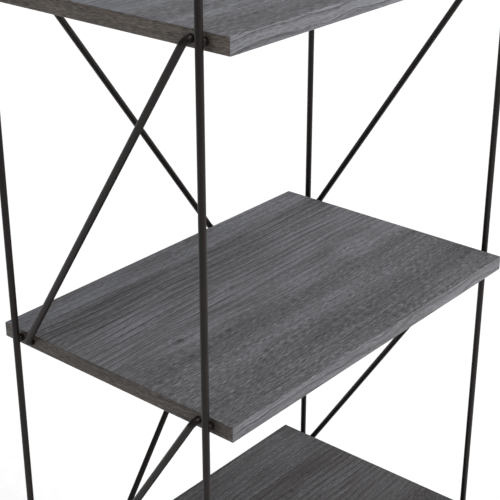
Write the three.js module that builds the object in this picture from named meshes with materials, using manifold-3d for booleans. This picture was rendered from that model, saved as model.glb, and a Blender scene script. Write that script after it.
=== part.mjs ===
// Open bookcase: laminated boards carried between four slim steel uprights and stiffened by bent rod
// braces at both ends and along the back. Millimetres, +Z up, front towards -Y, on its levelling feet
// at Z = 0, with the origin under the middle of the whole bookcase.
import * as THREE from "three";
import { mergeVertices } from "three/addons/utils/BufferGeometryUtils.js";
import Module from "manifold-3d";

const wasm = await Module();
wasm.setup();

// ---- Driving dimensions -------------------------------------------------------------------------
const BOARD_WIDTH = 530;
const BOARD_DEPTH = 350;
const BOARD_THICKNESS = 18;
const SHELF_COUNT = 5;
const SHELF_PITCH = 400; // top of one board to the top of the next
const BOTTOM_CLEARANCE = 100; // floor to the underside of the lowest board
const OVERALL_HEIGHT = 1750;
const ROD_RADIUS = 4; // uprights and braces are all 8 mm round bar
const ROD_STAND_OFF = 8.5; // from a board's edge to the centre line of the rod beside it
const UPRIGHT_INSET = 29; // from a board's front or rear edge to an upright's centre line
const GAP = 0.3; // between pieces that touch on the real bookcase

// ---- Bent braces --------------------------------------------------------------------------------
const BEND_RADIUS = 8; // of the centre line
const PLUG_DEPTH = 25; // length of a brace's bent end inside the board
const PLUG_HOLE_RADIUS = ROD_RADIUS + GAP;
const PLUG_HOLE_DEPTH = PLUG_DEPTH + 3;
const SIDE_BRACE_INSET = 46.5; // from the board's front or rear edge to a side brace's bent end
const REAR_BRACE_TOP_INSET = 80; // from the board's end to a rear brace's upper bent end
const REAR_BRACE_FOOT_INSET = 159; // from the board's other end to its lower bent end
const BEND_STEPS = 4;

// ---- Welded bosses, studs and the cam locks that draw them tight --------------------------------
const BOSS_RADIUS = 4.5;
const STUD_RADIUS = 2.5;
const STUD_NECK_RADIUS = 1.6;
const STUD_HOLE_RADIUS = 3;
const CAM_CENTRE_DEPTH = 24; // from the board's end to the middle of the cam
const CAM_RADIUS = 7.2;
const CAM_HEIGHT = 12.6;
const CAM_POCKET_RADIUS = CAM_RADIUS + GAP;
const CAM_POCKET_DEPTH = 13.5;
const STUD_NECK_START = CAM_CENTRE_DEPTH - CAM_POCKET_RADIUS;
const STUD_HEAD_START = CAM_CENTRE_DEPTH;
const STUD_HEAD_LENGTH = 3.5;
const CAM_NECK_SLOT = 4; // width that holds the stud's head back
const CAM_ENTRY_SLOT = 6; // width that lets the stud's head in, and the height of both slots
const DRIVE_SLOT = { length: 10, width: 1.6, depth: 2 }; // for a flat screwdriver

// ---- Levelling feet -----------------------------------------------------------------------------
const PAD_RADIUS = 10;
const PAD_RIM = 3;
const PAD_EDGE = 1; // chamfer under the rim
const PAD_HEIGHT = 7;
const PAD_NECK_RADIUS = 5.5;
const PAD_NECK_LENGTH = 0.5;
const SOCKET_FLOOR = 2.5;
const SCREW_RADIUS = 2.5; // M5
const SCREW_HOLE_RADIUS = SCREW_RADIUS + GAP;
const SCREW_TIP = 26; // height of the screw's top end above the floor
const COLLAR_RADIUS = 4.6; // to the corners of the hexagon
const COLLAR_BOTTOM = PAD_HEIGHT + GAP;
const COLLAR_HEIGHT = 3;
const UPRIGHT_BOTTOM = COLLAR_BOTTOM + COLLAR_HEIGHT + GAP;
const FOOT_HOLE_DEPTH = 18;
const UPRIGHT_CHAMFER = 0.8;

// ---- Facets -------------------------------------------------------------------------------------
const ROD_SIDES = 16;
const BRACE_SIDES = 12;
const SMALL_SIDES = 12;
const STUD_SIDES = 8;
const PAD_SIDES = 20;

// ---- Worked out ---------------------------------------------------------------------------------
const UPRIGHT_X = BOARD_WIDTH / 2 + ROD_STAND_OFF;
const UPRIGHT_Y = BOARD_DEPTH / 2 - UPRIGHT_INSET;
const REAR_REACH = ROD_STAND_OFF + ROD_RADIUS; // how far the rear braces stand behind the boards
const SHELF_CENTRES = Array.from(
  { length: SHELF_COUNT },
  (_, i) => BOTTOM_CLEARANCE + BOARD_THICKNESS / 2 + i * SHELF_PITCH,
);
const SIDES = [
  { name: "left", sign: -1 },
  { name: "right", sign: 1 },
];
const FACES = [
  { name: "front", sign: -1 },
  { name: "rear", sign: 1 },
];

// ---- Finishes -----------------------------------------------------------------------------------
function finish(color, roughness, metalness) {
  return new THREE.MeshStandardMaterial({ color, roughness, metalness });
}
const BOARD_FINISH = finish(0x59585b, 0.55, 0);
const ROD_FINISH = finish(0x2c2725, 0.5, 0.3);
const ZINC_FINISH = finish(0xa5a6a4, 0.35, 1);
const PAD_FINISH = finish(0x1c1c1d, 0.6, 0);

// ---- Solids -------------------------------------------------------------------------------------
/** A closed geometry as a manifold-3d solid, for joining and cutting. */
function solidFrom(geometry) {
  const bare = geometry.clone();
  bare.deleteAttribute("normal");
  bare.deleteAttribute("uv");
  const merged = mergeVertices(bare, 1e-4);
  return new wasm.Manifold(
    new wasm.Mesh({
      numProp: 3,
      vertProperties: merged.attributes.position.array,
      triVerts: new Uint32Array(merged.index.array),
    }),
  );
}

/** A manifold-3d solid as a geometry, with flat-shaded normals. */
function geometryFrom(solid) {
  const mesh = solid.getMesh();
  const geometry = new THREE.BufferGeometry();
  geometry.setAttribute("position", new THREE.BufferAttribute(mesh.vertProperties, 3));
  geometry.setIndex(new THREE.BufferAttribute(mesh.triVerts, 1));
  geometry.computeVertexNormals();
  return geometry;
}

/** A bar of round section that runs from one point to another. */
function bar(start, end, radius, sides) {
  const along = new THREE.Vector3().subVectors(end, start);
  const geometry = new THREE.CylinderGeometry(radius, radius, along.length(), sides);
  const up = new THREE.Vector3(0, 1, 0);
  geometry.applyQuaternion(
    new THREE.Quaternion().setFromUnitVectors(up, along.clone().normalize()),
  );
  geometry.translate(...start.clone().add(end).multiplyScalar(0.5).toArray());
  return geometry;
}

/** A box given by its lowest and highest corners. */
function block(low, high) {
  const geometry = new THREE.BoxGeometry(high[0] - low[0], high[1] - low[1], high[2] - low[2]);
  return geometry.translate(
    (low[0] + high[0]) / 2,
    (low[1] + high[1]) / 2,
    (low[2] + high[2]) / 2,
  );
}

/** A turned piece about +Z, from [radius, height] pairs that start and end on the axis. */
function turned(profile, sides) {
  const points = profile.map(([radius, height]) => new THREE.Vector2(radius, height));
  return new THREE.LatheGeometry(points, sides).rotateX(Math.PI / 2);
}

// ---- Uprights -----------------------------------------------------------------------------------
/** One boss with its stud at height z, along +X from the rod's centre line at X = 0. */
function bossAndStud(z) {
  const depth = (x) => ROD_STAND_OFF + x; // measured from the board's end face
  const boss = bar(
    new THREE.Vector3(0, 0, z),
    new THREE.Vector3(depth(-GAP), 0, z),
    BOSS_RADIUS,
    SMALL_SIDES,
  );
  const stud = turned(
    [
      [0, depth(-1)],
      [STUD_RADIUS, depth(-1)],
      [STUD_RADIUS, depth(STUD_NECK_START)],
      [STUD_NECK_RADIUS, depth(STUD_NECK_START)],
      [STUD_NECK_RADIUS, depth(STUD_HEAD_START)],
      [STUD_RADIUS, depth(STUD_HEAD_START)],
      [STUD_RADIUS, depth(STUD_HEAD_START + STUD_HEAD_LENGTH)],
      [0, depth(STUD_HEAD_START + STUD_HEAD_LENGTH)],
    ],
    STUD_SIDES,
  );
  stud.rotateY(Math.PI / 2).translate(0, 0, z);
  return solidFrom(boss).add(solidFrom(stud));
}

/** An upright at X = Y = 0, its studs pointing along +X into the boards. */
function uprightGeometry() {
  const rod = turned(
    [
      [0, UPRIGHT_BOTTOM],
      [ROD_RADIUS, UPRIGHT_BOTTOM],
      [ROD_RADIUS, OVERALL_HEIGHT - UPRIGHT_CHAMFER],
      [ROD_RADIUS - UPRIGHT_CHAMFER, OVERALL_HEIGHT],
      [0, OVERALL_HEIGHT],
    ],
    ROD_SIDES,
  );
  const footHole = bar(
    new THREE.Vector3(0, 0, 0),
    new THREE.Vector3(0, 0, UPRIGHT_BOTTOM + FOOT_HOLE_DEPTH),
    SCREW_HOLE_RADIUS,
    SMALL_SIDES,
  );
  let solid = solidFrom(rod).subtract(solidFrom(footHole));
  for (const z of SHELF_CENTRES) solid = solid.add(bossAndStud(z));
  return geometryFrom(solid);
}

// ---- Shelf boards -------------------------------------------------------------------------------
/** The holes in a board's two ends: stud holes, cam pockets and sockets for the side braces. */
function endHoles(hasBayBelow, hasBayAbove) {
  const holes = [];
  for (const side of SIDES) {
    const inward = (depth) => side.sign * (BOARD_WIDTH / 2 - depth);
    for (const face of FACES) {
      const y = face.sign * UPRIGHT_Y;
      const camX = inward(CAM_CENTRE_DEPTH);
      holes.push(
        bar(
          new THREE.Vector3(inward(-1), y, 0),
          new THREE.Vector3(camX, y, 0),
          STUD_HOLE_RADIUS,
          SMALL_SIDES,
        ),
        bar(
          new THREE.Vector3(camX, y, -BOARD_THICKNESS),
          new THREE.Vector3(camX, y, CAM_POCKET_DEPTH - BOARD_THICKNESS / 2),
          CAM_POCKET_RADIUS,
          ROD_SIDES,
        ),
      );
      // A side brace runs from the front of the upper board down to the rear of the lower one.
      if (face.sign > 0 ? hasBayAbove : hasBayBelow) {
        const plugY = face.sign * (BOARD_DEPTH / 2 - SIDE_BRACE_INSET);
        holes.push(
          bar(
            new THREE.Vector3(inward(-1), plugY, 0),
            new THREE.Vector3(inward(PLUG_HOLE_DEPTH), plugY, 0),
            PLUG_HOLE_RADIUS,
            BRACE_SIDES,
          ),
        );
      }
    }
  }
  return holes;
}

/** A socket in a board's rear edge for a rear brace's bent end. */
function rearHole(x) {
  return bar(
    new THREE.Vector3(x, BOARD_DEPTH / 2 + 1, 0),
    new THREE.Vector3(x, BOARD_DEPTH / 2 - PLUG_HOLE_DEPTH, 0),
    PLUG_HOLE_RADIUS,
    BRACE_SIDES,
  );
}

/** Where a rear brace's ends meet the boards: even bays run down to the right, odd to the left. */
function rearBraceEnds(bay) {
  const sign = bay % 2 === 0 ? 1 : -1;
  return {
    topX: -sign * (BOARD_WIDTH / 2 - REAR_BRACE_TOP_INSET),
    footX: sign * (BOARD_WIDTH / 2 - REAR_BRACE_FOOT_INSET),
  };
}

/** Board number `index`, counted up from the lowest, centred on the origin. */
function shelfGeometry(index) {
  const hasBayBelow = index > 0;
  const hasBayAbove = index < SHELF_COUNT - 1;
  const holes = endHoles(hasBayBelow, hasBayAbove);
  if (hasBayBelow) holes.push(rearHole(rearBraceEnds(index - 1).topX));
  if (hasBayAbove) holes.push(rearHole(rearBraceEnds(index).footX));
  let solid = solidFrom(new THREE.BoxGeometry(BOARD_WIDTH, BOARD_DEPTH, BOARD_THICKNESS));
  for (const hole of holes) solid = solid.subtract(solidFrom(hole));
  return geometryFrom(solid);
}

// ---- Cam locks ----------------------------------------------------------------------------------
/** A cam at X = Y = 0 with the stud's centre line at Z = 0, gripping a stud that comes from -X. */
function camGeometry() {
  const bottom = GAP - BOARD_THICKNESS / 2;
  const half = CAM_ENTRY_SLOT / 2;
  const drive = [DRIVE_SLOT.length / 2, DRIVE_SLOT.width / 2];
  const driveTop = bottom + DRIVE_SLOT.depth;
  const disc = bar(
    new THREE.Vector3(0, 0, bottom),
    new THREE.Vector3(0, 0, bottom + CAM_HEIGHT),
    CAM_RADIUS,
    SMALL_SIDES,
  );
  const cuts = [
    block([-CAM_RADIUS - 1, -CAM_NECK_SLOT / 2, -half], [0, CAM_NECK_SLOT / 2, half]),
    block([-GAP, -half, -half], [CAM_RADIUS + 1, half, half]),
    block([-drive[0], -drive[1], bottom - 1], [...drive, driveTop]),
  ];
  return geometryFrom(
    cuts.reduce((solid, cut) => solid.subtract(solidFrom(cut)), solidFrom(disc)),
  );
}

// ---- Braces -------------------------------------------------------------------------------------
/** The centre line of a bar bent at each inner corner, as one station for each ring of its skin. */
class BentLine extends THREE.Curve {
  constructor(corners, radius) {
    super();
    this.stations = [];
    corners.forEach((corner, i) => {
      if (i === 0 || i === corners.length - 1) this.addEnd(corners, i);
      else this.addBend(corners[i - 1], corner, corners[i + 1], radius);
    });
  }

  /** The first or the last point, heading along its own straight. */
  addEnd(corners, i) {
    const from = i === 0 ? 0 : i - 1;
    const tangent = new THREE.Vector3().subVectors(corners[from + 1], corners[from]).normalize();
    this.stations.push({ point: corners[i].clone(), tangent });
  }

  /** An arc of the given radius that rounds off the corner between two straights. */
  addBend(before, corner, after, radius) {
    const entry = new THREE.Vector3().subVectors(corner, before).normalize();
    const exit = new THREE.Vector3().subVectors(after, corner).normalize();
    const turn = entry.angleTo(exit);
    const start = corner.clone().addScaledVector(entry, -radius * Math.tan(turn / 2));
    const inward = exit.clone().addScaledVector(entry, -exit.dot(entry)).normalize();
    for (let k = 0; k <= BEND_STEPS; k++) {
      const angle = (turn * k) / BEND_STEPS;
      const point = start
        .clone()
        .addScaledVector(entry, radius * Math.sin(angle))
        .addScaledVector(inward, radius * (1 - Math.cos(angle)));
      const tangent = entry
        .clone()
        .multiplyScalar(Math.cos(angle))
        .addScaledVector(inward, Math.sin(angle));
      this.stations.push({ point, tangent });
    }
  }

  station(u) {
    return this.stations[Math.round(u * (this.stations.length - 1))];
  }

  getPointAt(u) {
    return this.station(u).point.clone();
  }

  getTangentAt(u) {
    return this.station(u).tangent.clone();
  }
}

/** A brace of round bar through the corners given, its two ends bent to plug into the boards. */
function braceGeometry(corners) {
  const line = new BentLine(corners, BEND_RADIUS);
  const section = new THREE.Shape().absarc(0, 0, ROD_RADIUS, 0, 2 * Math.PI);
  return new THREE.ExtrudeGeometry(section, {
    steps: line.stations.length - 1,
    curveSegments: BRACE_SIDES / 2,
    extrudePath: line,
  });
}

/** The brace across one end of a bay, from the front of its upper board to the rear of its lower. */
function sideBraceGeometry(side, bay) {
  const low = SHELF_CENTRES[bay];
  const high = SHELF_CENTRES[bay + 1];
  const tipX = side.sign * (BOARD_WIDTH / 2 - PLUG_DEPTH);
  const outX = side.sign * UPRIGHT_X;
  const y = BOARD_DEPTH / 2 - SIDE_BRACE_INSET;
  return braceGeometry([
    new THREE.Vector3(tipX, -y, high),
    new THREE.Vector3(outX, -y, high),
    new THREE.Vector3(outX, y, low),
    new THREE.Vector3(tipX, y, low),
  ]);
}

/** The brace across the back of a bay. */
function rearBraceGeometry(bay) {
  const low = SHELF_CENTRES[bay];
  const high = SHELF_CENTRES[bay + 1];
  const tipY = BOARD_DEPTH / 2 - PLUG_DEPTH;
  const outY = BOARD_DEPTH / 2 + ROD_STAND_OFF;
  const { topX, footX } = rearBraceEnds(bay);
  return braceGeometry([
    new THREE.Vector3(topX, tipY, high),
    new THREE.Vector3(topX, outY, high),
    new THREE.Vector3(footX, outY, low),
    new THREE.Vector3(footX, tipY, low),
  ]);
}

// ---- Levelling feet -----------------------------------------------------------------------------
/** The moulded pad that stands on the floor and carries the screw's lower end in its socket. */
function padGeometry() {
  return turned(
    [
      [0, 0],
      [PAD_RADIUS - PAD_EDGE, 0],
      [PAD_RADIUS, PAD_EDGE],
      [PAD_RADIUS, PAD_RIM],
      [PAD_NECK_RADIUS, PAD_HEIGHT - PAD_NECK_LENGTH],
      [PAD_NECK_RADIUS, PAD_HEIGHT],
      [SCREW_HOLE_RADIUS, PAD_HEIGHT],
      [SCREW_HOLE_RADIUS, SOCKET_FLOOR],
      [0, SOCKET_FLOOR],
    ],
    PAD_SIDES,
  );
}

/** The screw: a pin in the pad's socket, a hexagon to turn it by, and a stud up into the upright. */
function screwGeometry() {
  const pinBottom = SOCKET_FLOOR + GAP;
  const shank = bar(
    new THREE.Vector3(0, 0, pinBottom),
    new THREE.Vector3(0, 0, SCREW_TIP),
    SCREW_RADIUS,
    SMALL_SIDES,
  );
  const collar = bar(
    new THREE.Vector3(0, 0, COLLAR_BOTTOM),
    new THREE.Vector3(0, 0, COLLAR_BOTTOM + COLLAR_HEIGHT),
    COLLAR_RADIUS,
    6,
  );
  return geometryFrom(solidFrom(shank).add(solidFrom(collar)));
}

// ---- Assembly -----------------------------------------------------------------------------------
const bookcase = new THREE.Group();
bookcase.position.y = -REAR_REACH / 2;

/** Adds one named piece to the bookcase, turned about Z and moved to its place. */
function addPiece(name, geometry, material, place = [0, 0, 0], turn = 0) {
  const mesh = new THREE.Mesh(geometry, material.clone());
  mesh.name = name;
  mesh.position.set(...place);
  mesh.rotation.z = turn;
  bookcase.add(mesh);
}

const upright = uprightGeometry();
const pad = padGeometry();
const screw = screwGeometry();
const cam = camGeometry();

for (const side of SIDES) {
  const turn = side.sign > 0 ? Math.PI : 0; // studs point inwards
  for (const face of FACES) {
    const corner = `${face.name}_${side.name}`;
    const place = [side.sign * UPRIGHT_X, face.sign * UPRIGHT_Y, 0];
    addPiece(`upright_${corner}`, upright, ROD_FINISH, place, turn);
    addPiece(`leveller_pad_${corner}`, pad, PAD_FINISH, place);
    addPiece(`leveller_screw_${corner}`, screw, ZINC_FINISH, place);
  }
}

SHELF_CENTRES.forEach((z, index) => {
  const number = index + 1;
  addPiece(`shelf_${number}`, shelfGeometry(index), BOARD_FINISH, [0, 0, z]);
  for (const side of SIDES) {
    const turn = side.sign > 0 ? Math.PI : 0;
    const x = side.sign * (BOARD_WIDTH / 2 - CAM_CENTRE_DEPTH);
    for (const face of FACES) {
      const place = [x, face.sign * UPRIGHT_Y, z];
      addPiece(`cam_lock_${number}_${face.name}_${side.name}`, cam, ZINC_FINISH, place, turn);
    }
  }
});

for (let bay = 0; bay < SHELF_COUNT - 1; bay++) {
  const number = bay + 1;
  for (const side of SIDES) {
    addPiece(`side_brace_${side.name}_${number}`, sideBraceGeometry(side, bay), ROD_FINISH);
  }
  addPiece(`rear_brace_${number}`, rearBraceGeometry(bay), ROD_FINISH);
}

export default bookcase;
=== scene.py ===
"""Open bookcase: the visible pieces and their finishes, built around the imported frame.

Five charcoal melamine boards stand between four slim steel uprights. Bent rod braces cross both
ends and the back of every bay, cam fittings draw the boards tight, and four screw feet level it.
Everything is in metres, +Z up, with the front towards -Y.
"""

import itertools
import logging
import math
from abc import ABC, abstractmethod
from collections.abc import Callable, Iterable, Mapping, Sequence
from dataclasses import dataclass
from enum import Enum
from typing import Any

import bmesh
import bpy
from mathutils import Matrix, Vector


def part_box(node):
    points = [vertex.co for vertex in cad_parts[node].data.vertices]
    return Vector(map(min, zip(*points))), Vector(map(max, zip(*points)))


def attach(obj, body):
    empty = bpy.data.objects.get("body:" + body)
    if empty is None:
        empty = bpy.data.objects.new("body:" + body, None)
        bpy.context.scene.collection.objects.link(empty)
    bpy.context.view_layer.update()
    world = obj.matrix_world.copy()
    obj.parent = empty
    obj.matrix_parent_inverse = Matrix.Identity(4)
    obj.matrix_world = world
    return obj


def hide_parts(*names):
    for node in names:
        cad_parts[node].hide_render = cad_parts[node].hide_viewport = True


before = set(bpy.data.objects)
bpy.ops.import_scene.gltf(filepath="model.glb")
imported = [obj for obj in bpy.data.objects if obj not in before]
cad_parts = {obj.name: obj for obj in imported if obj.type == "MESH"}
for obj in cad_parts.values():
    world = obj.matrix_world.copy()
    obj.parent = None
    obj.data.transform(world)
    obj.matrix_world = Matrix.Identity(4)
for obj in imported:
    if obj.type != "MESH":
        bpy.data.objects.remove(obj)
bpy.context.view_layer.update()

LOG = logging.getLogger("bookcase")

MM = 0.001  # metres in a millimetre
FRAME_BODY = "frame"

UP = Vector((0, 0, 1))

Colour = tuple[float, float, float, float]
Stops = Sequence[tuple[float, Colour]]
Profile = Sequence[tuple[float, float]]
Source = bpy.types.Node | bpy.types.NodeSocket | float
Spot = tuple[bpy.types.NodeSocket, bpy.types.NodeSocket, bpy.types.NodeSocket]


# ---- Nodes and colours ---------------------------------------------------------------------------
def srgb(code: str) -> Colour:
    """Turns an sRGB hex colour into linear light.

    Args:
        code: The colour as #rrggbb.

    Returns:
        The linear red, green and blue, with an alpha of 1.
    """
    shares = [int(code[i : i + 2], 16) / 255 for i in (1, 3, 5)]
    red, green, blue = (
        c / 12.92 if c <= 0.04045 else ((c + 0.055) / 1.055) ** 2.4 for c in shares
    )
    return red, green, blue, 1.0


def add_node(
    tree: bpy.types.NodeTree,
    kind: str,
    inputs: Mapping[str | int, Any] | None = None,
    stops: Stops = (),
    **settings: Any,
) -> bpy.types.Node:
    """Adds one node with its settings, its fixed inputs and its links.

    Args:
        tree: The node tree that gets the node.
        kind: The node's type name.
        inputs: For each input, by name or number, a value, or the socket or node that feeds it.
        stops: The places and colours of a ramp's stops, in order.
        **settings: The node's own properties.

    Returns:
        The new node.
    """
    node = tree.nodes.new(kind)
    for name, setting in settings.items():
        setattr(node, name, setting)
    for key, value in (inputs or {}).items():
        if isinstance(value, bpy.types.Node):
            value = value.outputs[0]
        if isinstance(value, bpy.types.NodeSocket):
            tree.links.new(value, node.inputs[key])
        else:
            node.inputs[key].default_value = value
    for index, (position, colour) in enumerate(stops):
        elements = node.color_ramp.elements  # a new ramp already has two stops
        stop = elements[index] if index < 2 else elements.new(position)
        stop.position, stop.color = position, colour
    return node


def grey(level: float) -> Colour:
    """A linear grey of the given level, as a ramp's stop."""
    return level, level, level, 1.0


# ---- Finishes ------------------------------------------------------------------------------------
class Finish(ABC):
    """A real material with the process that made its surface."""

    name: str
    roughness: float

    @abstractmethod
    def surface(self, tree: bpy.types.NodeTree) -> dict[str, Any]:
        """Builds the pattern.

        Args:
            tree: The material's node tree.

        Returns:
            The shader's inputs, each as a value, a node or a socket.
        """

    def pattern(
        self,
        tree: bpy.types.NodeTree,
        kind: str,
        size: float,
        inputs: Mapping[str, float] | None = None,
        **settings: Any,
    ) -> bpy.types.Node:
        """Draws a texture at its real size on the piece.

        Args:
            tree: The material's node tree.
            kind: The texture node's type name.
            size: The size of the pattern in millimetres.
            inputs: The texture's other inputs.
            **settings: The node's own properties.

        Returns:
            The texture.
        """
        spot = add_node(tree, "ShaderNodeTexCoord").outputs["Object"]
        drawn = {"Vector": spot, "Scale": 1 / (size * MM), **(inputs or {})}
        return add_node(tree, kind, drawn, **settings)

    def coat(
        self,
        tree: bpy.types.NodeTree,
        tint: Source,
        stops: Stops,
        gloss: Source | None = None,
        swing: tuple[float, float] = (0.0, 0.0),
        height: Source | None = None,
        dent: tuple[float, float] = (0.0, 0.0),
        invert: bool = False,
    ) -> dict[str, Any]:
        """Turns the patterns of a finish into its colour, roughness and relief.

        Args:
            tree: The material's node tree.
            tint: The pattern that picks the colour.
            stops: The colours, from where that pattern is low to where it is high.
            gloss: The pattern that changes the roughness; without it the roughness is even.
            swing: What it adds to the roughness where it is 0 and where it is 1.
            height: The pattern that raises the surface; without it there is no relief.
            dent: The relief's strength, and its depth in millimetres.
            invert: Whether a high value is a pit.

        Returns:
            The shader's colour, roughness and, where there is relief, normal.
        """
        coated: dict[str, Any] = {
            "Base Color": add_node(tree, "ShaderNodeValToRGB", {0: tint}, stops=stops),
            "Roughness": self.roughness,
        }
        if gloss is not None:
            low, high = (self.roughness + change for change in swing)
            coated["Roughness"] = add_node(
                tree, "ShaderNodeMapRange", {0: gloss, 3: low, 4: high}
            )
        if height is not None:
            strength, depth = dent
            relief = {"Strength": strength, "Distance": depth * MM, "Height": height}
            coated["Normal"] = add_node(tree, "ShaderNodeBump", relief, invert=invert)
        return coated

    def material(self) -> bpy.types.Material:
        """Makes the Blender material, or gives the one made before.

        Returns:
            The material, named after the finish.
        """
        made = bpy.data.materials.get(self.name)
        if made is None:
            made = bpy.data.materials.new(self.name)
            made.use_nodes = True
            tree = made.node_tree
            tree.nodes.clear()
            shader = add_node(tree, "ShaderNodeBsdfPrincipled", self.surface(tree))
            add_node(tree, "ShaderNodeOutputMaterial", {"Surface": shader.outputs[0]})
        return made


class Grain(Enum):
    """How the printed grain lies: the axes along it, across it and into the board."""

    FACE = "XYZ"
    LONG_EDGE = "XZY"
    SHORT_EDGE = "YZX"


# The print from the front of a sheet (0) to its rear (1): how light it is, how strong its growth
# lines are, and how strong its pores are. The last is one growth line, from one to the next.
# On the faces the lightness also holds painted light: the rear is lifted to make up for the shade
# that the board above casts there.
BAND_TONES_AND_REAR_LIGHT = (
    (0.0, grey(0.5)),
    (0.13, grey(0.2)),
    (0.25, grey(0.58)),
    (0.37, grey(0.3)),
    (0.45, grey(0.72)),
    (0.7, grey(0.66)),
    (0.865, grey(0.4)),
    (0.885, grey(0.95)),
)
BAND_LINES = (
    (0.0, grey(0.3)),
    (0.3, grey(0.16)),
    (0.42, grey(0.1)),
    (0.5, grey(0.4)),
    (0.58, grey(1.0)),
    (0.85, grey(1.0)),
    (0.9, grey(0.5)),
)
BAND_PORES = (
    (0.0, grey(1.0)),
    (0.38, grey(0.95)),
    (0.46, grey(0.45)),
    (0.65, grey(0.5)),
    (0.85, grey(0.6)),
)
GROWTH_LINE = (
    (0.0, grey(0.66)),
    (0.5, grey(0.56)),
    (0.7, grey(0.4)),
    (0.8, grey(0.06)),
    (0.87, grey(0.1)),
    (0.93, grey(1.0)),
    (1.0, grey(0.66)),
)

# The rings of one knot, from its heart (0) to where they die out in the straight grain (1).
KNOT_RINGS = (
    (0.0, grey(0.1)),
    (0.07, grey(0.2)),
    (0.12, grey(0.62)),
    (0.19, grey(0.42)),
    (0.26, grey(0.85)),
    (0.32, grey(0.4)),
    (0.42, grey(0.66)),
    (0.85, grey(0.5)),
)


@dataclass(frozen=True)
class Knot:
    """One small knot in the print, in millimetres from the middle of its board."""

    along: float
    across: float
    radius: float = 8.0


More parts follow.
